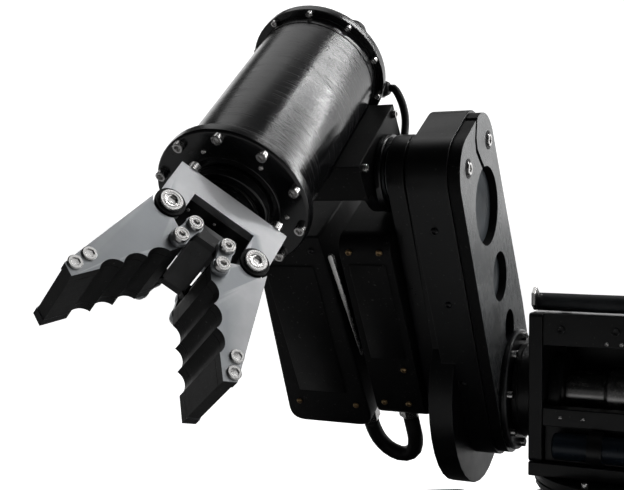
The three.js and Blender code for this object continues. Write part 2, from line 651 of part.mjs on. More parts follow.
function linkGroup(side) {
  const tag = side > 0 ? 'right' : 'left';
  const pin = openJawPin(side);
  const group = placed(new THREE.Group(), side * CROSS.x, -CROSS.t, 0);
  const dx = pin.x - side * CROSS.x;
  const dy = pin.y + CROSS.t;
  group.add(gripLink(`link_front_${tag}`, dx, dy, LINK_PLATE.bottom, LINK_PLATE.top));
  group.add(gripLink(`link_rear_${tag}`, dx, dy, -LINK_PLATE.top, -LINK_PLATE.bottom));
  return group;
}

function gripperGroup() {
  const g = GRIP;
  const group = placed(new THREE.Group(), 0, WRIST.front, WRIST.offset);
  group.rotation.y = WRIST_ROLL;
  group.add(wristHub(), yokeBlock());
  group.add(yokePlate('yoke_front_plate', g.halfThickness - g.plate, g.halfThickness));
  group.add(yokePlate('yoke_rear_plate', -g.halfThickness, -g.halfThickness + g.plate));
  group.add(pivotPin('pivot_pin_left', -1), pivotPin('pivot_pin_right', 1));
  group.add(crosshead(), pushRod());
  group.add(linkPin('crosshead_pin_left', -CROSS.x, -CROSS.t), linkPin('crosshead_pin_right', CROSS.x, -CROSS.t));
  group.add(jawGroup(-1), jawGroup(1), linkGroup(-1), linkGroup(1));
  return group;
}

function forearmGroup() {
  const group = placed(new THREE.Group(), 0, 0, LINK_LENGTH);
  group.rotation.x = FOREARM_DIP - LINK_LEAN;
  group.add(elbowDisc(), forearmSaddle(), wristTube(), wristFlange(), wristRearCap(), wristGearmotor());
  group.add(rearBlock(), cableGland(), forearmCable(), gripperGroup());
  return group;
}

function upperArmGroup() {
  const group = placed(new THREE.Group(), ARM_X, 0, SHOULDER_Z);
  group.rotation.x = LINK_LEAN;
  group.add(cheekInner(), cheekBody(), cheekCover(), innerHousing(), leftHousing(), crossMember());
  group.add(shoulderHub(), elbowBarrel(), loopHose());
  group.add(loopGland('loop_gland_left', LOOP.x0, LEFT_BOX.z0 - GAP, LOOP.leftZ + GAP));
  group.add(loopGland('loop_gland_right', LOOP.x1, INNER_BOX.z0 - GAP, LOOP.rightZ + GAP));
  group.add(forearmGroup());
  return group;
}

function turntableGroup() {
  const group = new THREE.Group();
  group.add(slewDisc(), frameFloor(), frameLeftPlate(), frameRightPlate(), frameTopBeam(), frameRearWall());
  group.add(frameFrontRail(), shoulderGearbox(), shoulderMotor(), shoulderBearing(), driveTube());
  group.add(tubeClamp('tube_clamp_left', -20), tubeClamp('tube_clamp_right', 45));
  group.add(frameHose(), hoseGland('hose_gland_left', -69, -66.3, -30), hoseGland('hose_gland_right', 64.3, 78, -30));
  group.add(upperArmGroup());
  return group;
}

const arm = new THREE.Group();
arm.add(basePlate(), slewHousing(), turntableGroup());

export default arm;
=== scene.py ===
import json
import math

import bpy
import bmesh
from itertools import product
from mathutils import Matrix, Vector


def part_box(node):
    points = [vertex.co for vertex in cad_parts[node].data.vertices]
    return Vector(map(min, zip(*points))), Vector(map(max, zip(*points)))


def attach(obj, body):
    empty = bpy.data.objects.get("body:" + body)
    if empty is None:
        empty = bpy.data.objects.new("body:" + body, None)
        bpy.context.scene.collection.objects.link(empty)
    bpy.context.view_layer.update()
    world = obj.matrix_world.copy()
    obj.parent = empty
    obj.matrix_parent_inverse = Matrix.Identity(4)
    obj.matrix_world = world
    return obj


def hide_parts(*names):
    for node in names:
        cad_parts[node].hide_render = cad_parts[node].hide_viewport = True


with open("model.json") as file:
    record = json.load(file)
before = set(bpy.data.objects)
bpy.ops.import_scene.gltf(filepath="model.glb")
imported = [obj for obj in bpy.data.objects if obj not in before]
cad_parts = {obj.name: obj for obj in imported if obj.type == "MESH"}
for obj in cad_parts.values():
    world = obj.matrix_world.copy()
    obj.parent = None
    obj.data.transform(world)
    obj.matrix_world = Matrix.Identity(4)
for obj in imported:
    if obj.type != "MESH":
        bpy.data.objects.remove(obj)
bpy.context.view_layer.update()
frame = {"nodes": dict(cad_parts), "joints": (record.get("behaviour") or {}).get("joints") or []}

# A black machined manipulator arm: finishes for the CAD solids, and the screws, seals, caps and
# lids that dress them. Lengths are in millimetres unless a comment says otherwise; at() turns them
# into metres.

MM = 0.001
JOINT = {j["name"]: j for j in frame["joints"]}
NODES = frame["nodes"]
X = Vector((1, 0, 0))
WORLD = Matrix.Identity(4)


# ---- working frames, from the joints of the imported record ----
def joint_point(name):
    return Vector(JOINT[name]["pos_m"])


def joint_axis(name):
    return Vector(JOINT[name]["axis"]).normalized()


def axes_at(origin, x, y, z):
    m = Matrix((x, y, z)).transposed().to_4x4()
    m.translation = origin
    return m


def link_frame():
    """The upper arm's frame: origin on the shoulder axis, local +Z towards the elbow."""
    shoulder = joint_point("shoulder_pitch")
    elbow = joint_point("elbow_pitch")
    up = Vector((0, elbow.y - shoulder.y, elbow.z - shoulder.z))
    up.normalize()
    mid = joint_point("wrist_roll").x
    return axes_at(Vector((mid, shoulder.y, shoulder.z)), X, up.cross(X), up)


UPPER = link_frame()
FORE_Y = -joint_axis("wrist_roll")
ELBOW = joint_point("elbow_pitch")
FORE = axes_at(Vector((joint_point("wrist_roll").x, ELBOW.y, ELBOW.z)), X, FORE_Y, X.cross(FORE_Y))
GRIP_Z = joint_axis("jaw_left_pivot")
GRIP = axes_at(joint_point("wrist_roll"), FORE_Y.cross(GRIP_Z), FORE_Y, GRIP_Z)
WRIST_LOCAL = FORE.inverted() @ joint_point("wrist_roll")
OPEN = math.radians(JOINT["jaw_right_pivot"]["range_deg"][1])


def jaw_frame(side):
    """A jaw's own frame, as if the jaw were closed. side is 1 for the right jaw, -1 for the left."""
    pivot = joint_point("jaw_right_pivot" if side > 0 else "jaw_left_pivot")
    local = GRIP.inverted() @ pivot
    return GRIP @ Matrix.Translation((local.x, local.y, 0)) @ Matrix.Rotation(side * OPEN, 4, "Z")


def at(base, x, y, z, axis="Z"):
    """A place in millimetres in one of the frames, with local +Z turned to the named axis."""
    half, quarter = math.pi, math.pi / 2
    turn = {
        "Z": Matrix.Identity(4), "-Z": Matrix.Rotation(half, 4, "X"),
        "X": Matrix.Rotation(quarter, 4, "Y"), "-X": Matrix.Rotation(-quarter, 4, "Y"),
        "Y": Matrix.Rotation(-quarter, 4, "X"), "-Y": Matrix.Rotation(quarter, 4, "X"),
    }[axis]
    return base @ Matrix.Translation(Vector((x, y, z)) * MM) @ turn


# ---- materials ----
MIX_A, MIX_B, MIX_RESULT = 6, 7, 2     # the colour sockets of a Mix node


class Graph:
    """A new material, and short ways to add and join its nodes."""

    def __init__(self, name):
        self.mat = bpy.data.materials.new(name)
        self.mat.use_nodes = True
        self.nodes = self.mat.node_tree.nodes
        self.links = self.mat.node_tree.links
        self.bsdf = self.nodes["Principled BSDF"]

    def node(self, kind, links=(), **values):
        n = self.nodes.new(kind)
        for key, value in values.items():
            if hasattr(n, key):
                setattr(n, key, value)
            else:
                n.inputs[key.replace("_", " ")].default_value = value
        for socket, source in dict(links).items():
            self.links.new(source, n.inputs[socket])
        return n

    def coords(self, base=WORLD, stretch=(1, 1, 1)):
        """Object coordinates turned into one of the working frames, then stretched."""
        tc = self.node("ShaderNodeTexCoord")
        inv = base.inverted()
        turn = self.node("ShaderNodeMapping", {"Vector": tc.outputs["Object"]})
        turn.inputs["Rotation"].default_value = inv.to_euler()
        turn.inputs["Location"].default_value = inv.translation
        scale = self.node("ShaderNodeMapping", {"Vector": turn.outputs[0]})
        scale.inputs["Scale"].default_value = stretch
        return scale.outputs[0]

    def noise(self, vector, scale, detail=4.0, rough=0.55):
        return self.node("ShaderNodeTexNoise", {"Vector": vector},
                         Scale=scale, Detail=detail, Roughness=rough)

    def span(self, value, lo, hi, out_lo, out_hi):
        n = self.node("ShaderNodeMapRange", {"Value": value})
        for key, v in (("From Min", lo), ("From Max", hi), ("To Min", out_lo), ("To Max", out_hi)):
            n.inputs[key].default_value = v
        return n.outputs["Result"]

    def mix(self, factor, a, b):
        n = self.nodes.new("ShaderNodeMix")
        n.data_type = "RGBA"
        self.links.new(factor, n.inputs["Factor"])
        for socket, v in ((MIX_A, a), (MIX_B, b)):
            if isinstance(v, tuple):
                n.inputs[socket].default_value = (*v, 1)
            else:
                self.links.new(v, n.inputs[socket])
        return n.outputs[MIX_RESULT]

    def add(self, a, b):
        n = self.node("ShaderNodeMath", {0: a, 1: b}, operation="ADD")
        return n.outputs[0]


DUST = (0.32, 0.32, 0.31)


def metal(name, colour, spread, metallic, rough, base=WORLD, stretch=(1, 1, 1), lay=900.0,
          lay_depth=0.00001, specks=0.0, wear=None, wear_from=0.53, specular=0.5, swing=0.045):
    """Machined or anodised metal: tone drifts, a fine machining lay, edge wear and handling marks.

    spread is the tone's drift as a share of the colour. lay is the scale of the machining marks and
    lay_depth their depth in metres; stretch draws them out along an axis of the base frame. swing is
    how far the marks move the roughness.
    """
    g = Graph(name)
    plain = g.coords()
    drift = g.noise(plain, 14.0, 5.0)
    fine = g.noise(g.coords(base, stretch), lay, 3.0, 0.6)
    tone = g.mix(g.span(drift.outputs["Fac"], 0.3, 0.7, 0, 1), tuple(c * (1 - spread) for c in colour),
                 tuple(min(1.0, c * (1 + spread)) for c in colour))
    if specks:
        dust = g.noise(plain, 420.0, 2.0)
        tone = g.mix(g.span(dust.outputs["Fac"], 0.66, 0.74, 0, specks), tone, DUST)
    if wear:
        geo = g.node("ShaderNodeNewGeometry")
        edge = g.span(geo.outputs["Pointiness"], wear_from, wear_from + 0.05, 0, 0.85)
        broken = g.node("ShaderNodeMath", {0: edge, 1: g.span(drift.outputs["Fac"], 0.35, 0.6, 0.25, 1)},
                        operation="MULTIPLY")
        tone = g.mix(broken.outputs[0], tone, wear)
    g.links.new(tone, g.bsdf.inputs["Base Color"])
    smear = g.noise(plain, 38.0, 6.0, 0.65)
    wide = g.span(smear.outputs["Fac"], 0.3, 0.7, rough - 0.05, rough + 0.06)
    narrow = g.span(fine.outputs["Fac"], 0.3, 0.7, -swing, swing)
    g.links.new(g.add(wide, narrow), g.bsdf.inputs["Roughness"])
    bump = g.node("ShaderNodeBump", {"Height": fine.outputs["Fac"]}, Strength=1.0, Distance=lay_depth)
    g.links.new(bump.outputs[0], g.bsdf.inputs["Normal"])
    g.bsdf.inputs["Metallic"].default_value = metallic
    g.bsdf.inputs["Specular IOR Level"].default_value = specular
    g.bsdf.inputs["Coat Weight"].default_value = 0.0
    g.bsdf.inputs["Coat Roughness"].default_value = 0.12
    return g.mat


def rubber(name, colour, rough, grain, depth):
    """Extruded or moulded polymer with a fine pebble and dusty patches; depth is in metres."""
    g = Graph(name)
    vector = g.coords()
    grainy = g.noise(vector, grain, 3.0)
    dusty = g.noise(vector, 45.0, 6.0, 0.7)
    tone = g.mix(g.span(dusty.outputs["Fac"], 0.4, 0.75, 0, 1), colour, tuple(c * 2.1 for c in colour))
    g.links.new(tone, g.bsdf.inputs["Base Color"])
    g.links.new(g.span(dusty.outputs["Fac"], 0.3, 0.7, rough - 0.08, rough + 0.1), g.bsdf.inputs["Roughness"])
    bump = g.node("ShaderNodeBump", {"Height": grainy.outputs["Fac"]}, Strength=1.0, Distance=depth)
    g.links.new(bump.outputs[0], g.bsdf.inputs["Normal"])
    g.bsdf.inputs["Specular IOR Level"].default_value = 0.35
    return g.mat


BLACK = (0.006, 0.0062, 0.007)
WORN = (0.16, 0.16, 0.165)
MAT = {
    "black": metal("black_anodised", BLACK, 0.3, 0.0, 0.34, lay=1400, lay_depth=0.000012, wear=WORN,
                   wear_from=0.57, specular=0.42, specks=0.12),
    "black_turned": metal("black_turned", BLACK, 0.3, 0.0, 0.2, base=FORE, stretch=(0.02, 1, 0.02), lay=1700,
                          lay_depth=0.00003, specular=0.8, specks=0.08, swing=0.1),
    "black_matt": metal("black_matt", (0.0045, 0.0045, 0.005), 0.3, 0.0, 0.5, lay=1100, lay_depth=0.00002,
                        specular=0.2, specks=0.12),
    "black_paint": rubber("black_paint", (0.012, 0.012, 0.013), 0.42, 1500.0, 0.00003),
    "grey": metal("grey_anodised", (0.11, 0.115, 0.118), 0.08, 0.0, 0.27, base=UPPER, stretch=(1, 1, 0.06),
                  lay=1300, lay_depth=0.000005, specks=0.1, specular=0.62, swing=0.03),
    "pocket": rubber("pocket_floor", (0.02, 0.026, 0.032), 0.6, 420.0, 0.00012),
    "satin": metal("satin_aluminium", (0.33, 0.345, 0.36), 0.06, 0.85, 0.4, base=GRIP, stretch=(0.07, 1, 1),
                   lay=1500, lay_depth=0.000008, wear=(0.62, 0.62, 0.63), wear_from=0.55, specks=0.2),
    "steel": metal("stainless_steel", (0.72, 0.71, 0.7), 0.08, 1.0, 0.24, lay=2600, lay_depth=0.000005,
                   specks=0.15),
    "bronze": metal("bronze", (0.36, 0.25, 0.13), 0.15, 0.9, 0.4, lay=1800, lay_depth=0.000008, specks=0.2),
    "rubber": rubber("black_rubber", (0.008, 0.008, 0.008), 0.5, 1900.0, 0.00003),
    "sleeve": rubber("braided_sleeve", (0.02, 0.022, 0.024), 0.5, 520.0, 0.00025),
    "plastic": rubber("black_plastic", (0.013, 0.013, 0.014), 0.45, 1600.0, 0.00003),
    "blue_tube": metal("blue_black_tube", (0.012, 0.02, 0.032), 0.2, 0.2, 0.32, lay=1500, lay_depth=0.00001,
                       stretch=(1, 0.05, 0.05), specks=0.15),
}

# Each CAD node's finish and the width of its edge bevel. The rest are black, with BEVEL.
BEVEL = 0.8
NODE_LOOK = {
    "base_plate": ("black_paint", 1.2), "slew_housing": ("black_paint", 0.8),
    "wrist_tube": ("black_turned", 0.5), "wrist_flange": ("black_turned", 0.6),
    "wrist_rear_cap": ("black_turned", 0.6), "wrist_hub": ("black_turned", 0.5),
    "rear_block": ("black", 1.2), "forearm_saddle": ("black_matt", 0.8), "cheek_cover": ("grey", 1.1),
    "cheek_body": ("black", 1.5), "cheek_inner": ("black", 1.5), "inner_housing": ("black_matt", 1.2),
    "left_housing": ("black_matt", 2.0), "cross_member": ("black_matt", 1.0),
    "shoulder_motor": ("steel", 0.6),
    "wrist_gearmotor": ("steel", 0.5), "drive_tube": ("blue_tube", 0.4), "elbow_disc": ("black_turned", 0.5),
    "elbow_barrel": ("satin", 0.2), "push_rod": ("steel", 0.3), "crosshead": ("black", 0.5),
    "frame_hose": ("sleeve", 0), "loop_hose": ("rubber", 0), "forearm_cable": ("rubber", 0),
    "cable_gland": ("plastic", 0.3), "hose_gland_left": ("steel", 0.4), "hose_gland_right": ("steel", 0.4),
    "loop_gland_left": ("steel", 0.4), "loop_gland_right": ("steel", 0.4),
    "tube_clamp_left": ("black", 0.4), "tube_clamp_right": ("black", 0.4),
}
for side in ("left", "right"):
    for part in ("jaw_front_plate_", "jaw_rear_plate_", "link_front_", "link_rear_"):
        NODE_LOOK[part + side] = ("satin", 0.45)
    NODE_LOOK["jaw_core_" + side] = ("black_matt", 0.5)
for part in ("yoke_front_plate", "yoke_rear_plate"):
    NODE_LOOK[part] = ("satin", 0.5)

SHARP = math.radians(32)         # edges sharper than this are bevelled
FLAT = math.radians(0.6)         # faces closer to one plane than this are joined
SMOOTH = math.radians(40)        # edges softer than this are shaded smooth on the added pieces
WELD = 0.00001                   # metres


def soften(obj, width):
    """Rounds the machined edges of a CAD solid and smooths its turned faces."""
    bpy.context.view_layer.objects.active = obj
    if obj.data.has_custom_normals:
        bpy.ops.mesh.customdata_custom_splitnormals_clear()
    obj.data.shade_smooth()
    weld = obj.modifiers.new("weld", "WELD")
    weld.merge_threshold = WELD
    flat = obj.modifiers.new("flat", "DECIMATE")
    flat.decimate_type = "DISSOLVE"
    flat.angle_limit = FLAT
    if width > 0:
        bevel = obj.modifiers.new("edge", "BEVEL")
        bevel.width = width * MM
        bevel.limit_method = "ANGLE"
        bevel.angle_limit = SHARP
        bevel.segments = 2
        bevel.use_clamp_overlap = True
    normals = obj.modifiers.new("normals", "WEIGHTED_NORMAL")
    normals.keep_sharp = True
    normals.weight = 60


def paint_shade_on_edges(obj, normal, look):
    """Painted shade: only the faces square to the normal keep the first look; the rest take the second, a
    darker finish painted on as shade.
    """
    obj.data.materials.append(MAT[look])
    for face in obj.data.polygons:
        face.material_index = 0 if abs(face.normal.dot(normal)) > 0.9 else 1


for name, obj in NODES.items():
    look, width = NODE_LOOK.get(name, ("black", BEVEL))
    obj.data.materials.clear()
    obj.data.materials.append(MAT[look])
    # painted shade: the edge faces of the jaw plates and of the cheek cover take black_matt, standing in for
    # shade on them
    if name.startswith(("jaw_front_plate", "jaw_rear_plate")):
        paint_shade_on_edges(obj, GRIP_Z, "black_matt")
    if name == "cheek_cover":
        paint_shade_on_edges(obj, X, "black_matt")
    soften(obj, width)


# ---- mesh building ----
def add_to_scene(name, data):
    obj = bpy.data.objects.new(name, data)
    bpy.context.scene.collection.objects.link(obj)
    return obj


class Piece:
    """Collects closed shells, in metres, into one mesh that rides on a body."""

    def __init__(self, name, body, look):
        self.name, self.body, self.look = name, body, look
        self.verts, self.faces = [], []

    def shell(self, place, rings, segments=24, cap_start=True, cap_end=True, loop=False):
        """A stack of rings. Each ring is (radius or function of the angle, height), in millimetres."""
        first = len(self.verts)
        for radius, height in rings:
            for i in range(segments):
                a = 2 * math.pi * i / segments
                r = radius(a) if callable(radius) else radius
                self.verts.append(place @ Vector((r * math.cos(a) * MM, r * math.sin(a) * MM, height * MM)))
        count = len(rings)
        for j in range(count if loop else count - 1):
            lo = first + j * segments
            hi = first + ((j + 1) % count) * segments
            for i in range(segments):
                n = (i + 1) % segments
                self.faces.append((lo + i, lo + n, hi + n, hi + i))
        if not loop:
            if cap_start:
                self.faces.append(tuple(first + i for i in reversed(range(segments))))
            if cap_end:
                self.faces.append(tuple(first + (count - 1) * segments + i for i in range(segments)))
        return self

    def cap_screw(self, place, r, h, segments=24):
        """Socket head cap screw with a chamfered rim and a hexagon socket."""
        hexagon = hex_radius(r * 0.5)
        c = r * 0.12
        return self.shell(place, [(r, -0.05), (r, h - c), (r - c, h), (lambda a: hexagon(a) * 1.12, h),
                                  (hexagon, h - 0.06 * r), (hexagon, h * 0.45), (r * 0.12, h * 0.34)],
                          segments)

    def button_screw(self, place, r, h, segments=24):
        """Low domed head with a hexagon socket."""
        hexagon = hex_radius(r * 0.42)
        return self.shell(place, [(r, -0.05), (r, h * 0.25), (r * 0.9, h * 0.62), (r * 0.7, h * 0.88),
                                  (lambda a: hexagon(a) * 1.1, h), (hexagon, h * 0.94), (hexagon, h * 0.3),
                                  (r * 0.1, h * 0.2)], segments)

    def collar(self, place, r_in, r_out, h, ease=0.2, segments=48):
        """A flat ring with eased edges."""
        return self.shell(place, [(r_in, 0), (r_out, 0), (r_out, h - ease), (r_out - ease, h),
                                  (r_in + ease, h), (r_in, h - ease)], segments, loop=True)

    def hoop(self, place, r, wire, segments=56, sides=8):
        """A round-section ring, such as an O-ring."""
        rings = []
        for k in range(sides):
            a = 2 * math.pi * k / sides
            rings.append((r + wire * math.sin(a), wire - wire * math.cos(a)))
        return self.shell(place, rings, segments, loop=True)

    def block(self, place, size, ease=0.6):
        """A box, sitting on its base, with chamfered corners all round."""
        x, y, z = (v / 2 for v in size)
        first = len(self.verts)
        levels = [(ease, 0), (0, ease), (0, size[2] - ease), (ease, size[2])]
        for inset, h in levels:
            a, b = x - inset, y - inset
            for px, py in ((a, -b + ease), (a, b - ease), (a - ease, b), (-a + ease, b), (-a, b - ease),
                           (-a, -b + ease), (-a + ease, -b), (a - ease, -b)):
                self.verts.append(place @ Vector((px * MM, py * MM, h * MM)))
        for j in range(3):
            lo, hi = first + j * 8, first + (j + 1) * 8
            for i in range(8):
                n = (i + 1) % 8
                self.faces.append((lo + i, lo + n, hi + n, hi + i))
        self.faces.append(tuple(first + i for i in reversed(range(8))))
        self.faces.append(tuple(first + 24 + i for i in range(8)))
        return self

    def make(self, replaces=()):
        """Puts the mesh in the scene, on its body and in its material slot."""
        mesh = bpy.data.meshes.new(self.name)
        mesh.from_pydata([tuple(v) for v in self.verts], [], self.faces)
        bm = bmesh.new()
        bm.from_mesh(mesh)
        bmesh.ops.recalc_face_normals(bm, faces=bm.faces)
        bm.to_mesh(mesh)
        bm.free()
        mesh.shade_smooth()
        mesh.set_sharp_from_angle(angle=SMOOTH)
        mesh.materials.append(MAT[self.look])
        obj = add_to_scene(self.name, mesh)
        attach(obj, self.body)
        if replaces:
            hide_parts(*replaces)
        return obj


def hex_radius(apothem):
    """A hexagon's outline, as a radius for each angle."""
    def radius(angle):
        return apothem / math.cos((angle % (math.pi / 3)) - math.pi / 6)
    return radius


def circle(base, count, r, x, y, z, axis, start=0.0):
    """Places round a circle about the named axis."""
    out = []
    for i in range(count):
        a = start + 2 * math.pi * i / count
        u, v = r * math.cos(a), r * math.sin(a)
        if axis in ("X", "-X"):
            out.append(at(base, x, y + u, z + v, axis))
        elif axis in ("Y", "-Y"):
            out.append(at(base, x + u, y, z + v, axis))
        else:
            out.append(at(base, x + u, y + v, z, axis))
    return out


# ---- sizes of the added pieces ----
# Each screw is its head's radius and height.
FLANGE_SCREW, FACE_SCREW, REAR_CAP_SCREW = (3.5, 4.2), (1.8, 1.2), (2.3, 3.4)
BLOCK_SCREW, SADDLE_SCREW, SADDLE_REAR_SCREW = (4.2, 4.0), (2.9, 3.2), (2.6, 2.8)
YOKE_SCREW, WINDOW_SCREW, JAW_SCREW = (3.9, 6.0), (1.2, 0.9), (4.3, 1.3)
COVER_SCREW, HUB_SCREW, LID_SCREW = (4.6, 1.6), (3.4, 3.8), (2.5, 1.5)
PLATE_SCREW, CHEEK_SCREW, RECESS_SCREW = (3.4, 3.6), (2.6, 1.8), (1.8, 1.0)
FRAME_SIDE_SCREW, FRAME_EDGE_SCREW, FRAME_TOP_SCREW = (3.6, 3.8), (2.8, 2.6), (4.0, 4.0)
SMALL_SCREW, RING_SCREW, SLEW_SCREW = (1.7, 1.4), (2.8, 3.0), (2.6, 2.6)

YOKE_BACK = -24          # the yoke plates' rear edge, along the gripper's y
WINDOW_FACE = -39.5      # the yoke block's front face
PLATE_TOP = 27           # the jaw plates' outer faces, along the gripper's z
PIVOT_R, PIVOT_HEAD, PIVOT_WASHER = 4.0, 7.1, 9.3
LINK_PIN_R, LINK_PIN_HEAD = 2.0, 4.7
PIVOT_UNDER, LINK_PIN_UNDER = 27.3, 30.9     # where each head begins, along the gripper's z
WASHER_Z, WASHER_LIFT = 27.05, 0.9


# ---- forearm and wrist ----
WRIST_Y = WRIST_LOCAL.y / MM
WRIST_Z = WRIST_LOCAL.z / MM


def local_box(node, base):
    """A CAD node's lowest and highest corner in one of the frames, in millimetres."""
    inv = base.inverted()
    pts = [inv @ v.co for v in NODES[node].data.vertices]
    lo = [min(p[i] for p in pts) / MM for i in range(3)]
    hi = [max(p[i] for p in pts) / MM for i in range(3)]
    return lo, hi


TUBE_LO, TUBE_HI = local_box("wrist_tube", FORE)
FLANGE_LO, FLANGE_HI = local_box("wrist_flange", FORE)
CAP_LO, CAP_HI = local_box("wrist_rear_cap", FORE)
BLOCK_LO, BLOCK_HI = local_box("rear_block", FORE)
SADDLE_LO, SADDLE_HI = local_box("forearm_saddle", FORE)
TUBE_R = (TUBE_HI[0] - TUBE_LO[0]) / 2
FLANGE_R = (FLANGE_HI[0] - FLANGE_LO[0]) / 2


def wrist_screws():
    screws = Piece("wrist_screws", "forearm", "steel")
    turn = math.radians(9)
    for place in circle(FORE, 10, FLANGE_R - 4.6, 0, WRIST_Y, WRIST_Z, "-Y", turn):
        screws.cap_screw(place, *FLANGE_SCREW)
    for place in circle(FORE, 6, 37.5, 0, WRIST_Y, WRIST_Z, "-Y", math.radians(40)):
        screws.button_screw(place, *FACE_SCREW)
    for place in circle(FORE, 10, TUBE_R + 2.6, 0, CAP_LO[1] + 4.0, WRIST_Z, "-Y", turn):
        screws.cap_screw(place, *REAR_CAP_SCREW)
    margin = 9
    xs = (BLOCK_LO[0] + margin, BLOCK_HI[0] - margin)
    zs = (BLOCK_LO[2] + margin, BLOCK_HI[2] - margin)
    for x, z in product(xs, zs):
        screws.cap_screw(at(FORE, x, BLOCK_HI[1], z, "Y"), *BLOCK_SCREW)
    for y in (-34, 34):
        screws.cap_screw(at(FORE, SADDLE_HI[0], y, SADDLE_HI[2] - 5, "X"), *SADDLE_SCREW)
    for x in (2, 26):
        screws.cap_screw(at(FORE, x, SADDLE_HI[1], SADDLE_LO[2] + 40, "Y"), *SADDLE_REAR_SCREW)
    screws.make()


def wrist_rings():
    """O-rings at the tube's joints, the flange's register, and a raised land at each end of the tube."""
    seals = Piece("wrist_seals", "forearm", "rubber")
    seals.hoop(at(FORE, 0, FLANGE_LO[1] + 8.6, WRIST_Z, "-Y"), TUBE_R - 0.1, 0.5)
    seals.hoop(at(FORE, 0, TUBE_HI[1] + 0.5, WRIST_Z, "-Y"), TUBE_R - 0.1, 0.5)
    seals.make()
    rings = Piece("wrist_register", "forearm", "black_turned")
    rings.collar(at(FORE, 0, WRIST_Y, WRIST_Z, "-Y"), 29, 33.0, 1.2, 0.4)
    for y, axis in ((TUBE_HI[1] - 9, "Y"), (TUBE_LO[1] + 8, "-Y")):
        rings.collar(at(FORE, 0, y, WRIST_Z, axis), TUBE_R - 0.4, TUBE_R + 0.5, 5.5, 0.25)
    rings.make()


def wrist_rear():
    """The cover on the rear block, and the nut on the cable gland."""
    cover = Piece("rear_cover", "forearm", "black")
    x, z = (BLOCK_LO[0] + BLOCK_HI[0]) / 2, (BLOCK_LO[2] + BLOCK_HI[2]) / 2
    cover.block(at(FORE, x, BLOCK_HI[1], z, "Y"), (48, 34, 2.0), 0.8)
    cover.make()
    gland = Piece("forearm_gland_nut", "forearm", "steel")
    lo, hi = local_box("cable_gland", FORE)
    y, z = (lo[1] + hi[1]) / 2, (lo[2] + hi[2]) / 2
    gland.shell(at(FORE, lo[0] + 0.2, y, z, "X"), [(hex_radius(6.6), 0), (hex_radius(6.9), 0.6),
                (hex_radius(6.9), 3.2), (hex_radius(6.4), 3.8)], 24)
    gland.make()


# ---- gripper ----
def grip_details():
    steel = Piece("gripper_screws", "gripper_head", "steel")
    for x, z in product((-30, 30), (-24, 24)):
        steel.cap_screw(at(GRIP, x, YOKE_BACK, z, "Y"), *YOKE_SCREW)
    for x, z in ((-18.6, 13), (-1.2, 15.5), (15.2, 12.5)):
        steel.button_screw(at(GRIP, x, WINDOW_FACE, z, "-Y"), *WINDOW_SCREW)
        steel.button_screw(at(GRIP, x, WINDOW_FACE, -z, "-Y"), *WINDOW_SCREW)
    steel.make()
    guide = Piece("rod_guide", "gripper_head", "black_matt")
    guide.collar(at(GRIP, 0, -39.4, 0, "-Y"), 5.6, 9.5, 3.4, 0.6, 40)
    guide.make()
    seal = Piece("hub_seals", "gripper_head", "rubber")
    seal.hoop(at(GRIP, 0, -9.9, 0, "-Y"), 22.2, 0.55)
    seal.hoop(at(GRIP, 0, -22.6, 0, "-Y"), 20.9, 0.45)
    seal.make()


def ringed_head(pin, base, x, y, r, under, head_r, top):
    """Half of a through pin: shaft, stepped head with turned rings and a hexagon socket."""
    hexagon = hex_radius(head_r * 0.36)
    ring = head_r * 0.72
    rings = [(r, 0), (r, under), (head_r, under), (head_r, top - 0.5), (head_r - 0.4, top),
             (ring + 0.35, top), (ring, top - 0.55), (ring - 0.35, top), (lambda a: hexagon(a) * 1.16, top),
             (hexagon, top - 0.3), (hexagon, top - (top - under) * 0.75),
             (head_r * 0.1, top - (top - under) * 0.85)]
    for axis in ("Z", "-Z"):
        pin.shell(at(base, x, y, 0, axis), rings, 48, cap_start=False)


def headed_pin(name, body, node, r, head_r, under, washer=0.0):
    """A pin through the gripper with a head at each end, in place of the plain CAD pin."""
    lo, hi = local_box(node, GRIP)
    x, y = (lo[0] + hi[0]) / 2, (lo[1] + hi[1]) / 2
    pin = Piece(name, body, "steel")
    ringed_head(pin, GRIP, x, y, r, under, head_r, hi[2])
    join_halves(pin.make(replaces=(node,)).data)
    if washer:
        ring = Piece(name + "_washer", body, "black_matt")
        for axis in ("Z", "-Z"):
            ring.collar(at(GRIP, x, y, WASHER_Z, axis), r + 0.3, washer, 1.1, 0.2)
        ring.make()


def join_halves(mesh):
    """Welds a pin's two open halves where they meet in the middle."""
    bm = bmesh.new()
    bm.from_mesh(mesh)
    bmesh.ops.remove_doubles(bm, verts=bm.verts, dist=0.000001)
    bmesh.ops.recalc_face_normals(bm, faces=bm.faces)
    bm.to_mesh(mesh)
    bm.free()
    mesh.set_sharp_from_angle(angle=SMOOTH)


def pins():
    link_pin = (LINK_PIN_R, LINK_PIN_HEAD, LINK_PIN_UNDER)
    for side in ("left", "right"):
        headed_pin(f"pivot_bolt_{side}", "gripper_head", f"pivot_pin_{side}", PIVOT_R, PIVOT_HEAD,
                   PIVOT_UNDER + WASHER_LIFT, PIVOT_WASHER)
        headed_pin(f"crosshead_bolt_{side}", "crosshead", f"crosshead_pin_{side}", *link_pin)
        headed_pin(f"jaw_bolt_{side}", f"jaw_{side}", f"jaw_pin_{side}", *link_pin)


def jaw_details(side):
    tag = "right" if side > 0 else "left"
    base = jaw_frame(side)
    steel = Piece(f"jaw_screws_{tag}", f"jaw_{tag}", "steel")
    for u, s in ((-19.3, 62.4), (-22.2, 72.3)):
        for z, axis in ((PLATE_TOP, "Z"), (-PLATE_TOP, "-Z")):
            steel.cap_screw(at(base, side * u, -s, z, axis), *JAW_SCREW, 36)
    steel.make()


